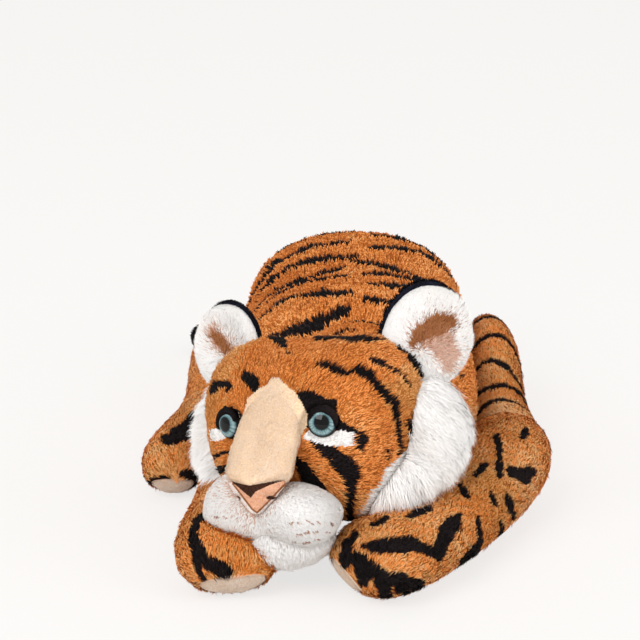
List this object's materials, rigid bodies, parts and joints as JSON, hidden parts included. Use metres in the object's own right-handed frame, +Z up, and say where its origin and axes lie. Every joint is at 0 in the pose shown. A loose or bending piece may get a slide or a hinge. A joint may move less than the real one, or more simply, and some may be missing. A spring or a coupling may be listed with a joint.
{
  "type": "plush tiger",
  "caption": "Plush tiger lying on its belly, with its head turned, stuffed limbs that swing at their seams and safety eyes.",
  "frame": {"origin": "in the flat of the belly, on the surface that the tiger lies on", "axes": "+Z up, the tiger faces -Y, +X is its left side, and its tail is towards +Y"},
  "size_m": [0.3434, 0.6836, 0.2211],
  "materials": {
    "orange_plush": "short combed pile, striped near-black",
    "white_plush": "long soft pile",
    "cream_plush": "very short pile",
    "black_plush": "short pile",
    "sole_plush": "very short pile",
    "nose_cloth": "brushed cloth",
    "fibre_fill": "loose fibre",
    "dark_thread": "twisted thread",
    "eye_plastic": "clear dome over a green-blue iris and black pupil",
    "washer_plastic": "moulded"
  },
  "bodies": {
    "body": {"body_skin": "orange_plush", "body_stuffing": "fibre_fill", "closing_seam": "dark_thread"},
    "head": {"head_skin": "orange_plush", "head_stuffing": "fibre_fill", "ruff_left": "white_plush", "ruff_right": "white_plush", "muzzle": "white_plush", "chin": "white_plush", "nose_bridge": "cream_plush", "nose": "nose_cloth", "mouth_stitching": "dark_thread", "eye_left": "eye_plastic", "eye_right": "eye_plastic", "eye_washer_left": "washer_plastic", "eye_washer_right": "washer_plastic", "ear_back_left": "black_plush", "ear_back_right": "black_plush", "ear_lining_left": "white_plush", "ear_lining_right": "white_plush"},
    "foreleg_left": {"foreleg_left_skin": "orange_plush", "foreleg_left_stuffing": "fibre_fill", "front_sole_left": "sole_plush"},
    "foreleg_right": {"foreleg_right_skin": "orange_plush", "foreleg_right_stuffing": "fibre_fill", "front_sole_right": "sole_plush"},
    "hind_leg_left": {"hind_leg_left_skin": "orange_plush", "hind_leg_left_stuffing": "fibre_fill", "hind_sole_left": "sole_plush"},
    "hind_leg_right": {"hind_leg_right_skin": "orange_plush", "hind_leg_right_stuffing": "fibre_fill", "hind_sole_right": "sole_plush"},
    "tail": {"tail_skin": "orange_plush", "tail_stuffing": "fibre_fill"}
  },
  "joints": [
    {"name": "head_lift", "type": "hinge", "parent": "body", "child": "head", "pos_m": [0, -0.122, 0.098], "axis": [-1, 0, 0], "range_deg": [0, 25], "stiffness_Nm_per_rad": 0.4},
    {"name": "foreleg_left_swing", "type": "hinge", "parent": "body", "child": "foreleg_left", "pos_m": [0.096, -0.1, 0.05], "axis": [0.8616, -0.5075, 0], "range_deg": [0, 60], "stiffness_Nm_per_rad": 0.15},
    {"name": "foreleg_right_swing", "type": "hinge", "parent": "body", "child": "foreleg_right", "pos_m": [-0.1, -0.086, 0.05], "axis": [1, 0, 0], "range_deg": [0, 60], "stiffness_Nm_per_rad": 0.15},
    {"name": "hind_leg_left_swing", "type": "hinge", "parent": "body", "child": "hind_leg_left", "pos_m": [0.1, 0.112, 0.058], "axis": [1, 0, 0], "range_deg": [0, 60], "stiffness_Nm_per_rad": 0.15},
    {"name": "hind_leg_right_swing", "type": "hinge", "parent": "body", "child": "hind_leg_right", "pos_m": [-0.1, 0.112, 0.058], "axis": [1, 0, 0], "range_deg": [0, 60], "stiffness_Nm_per_rad": 0.15},
    {"name": "tail_swing", "type": "hinge", "parent": "body", "child": "tail", "pos_m": [0, 0.227, 0.046], "axis": [0, 0, 1], "range_deg": [-35, 35], "stiffness_Nm_per_rad": 0.05}
  ]
}
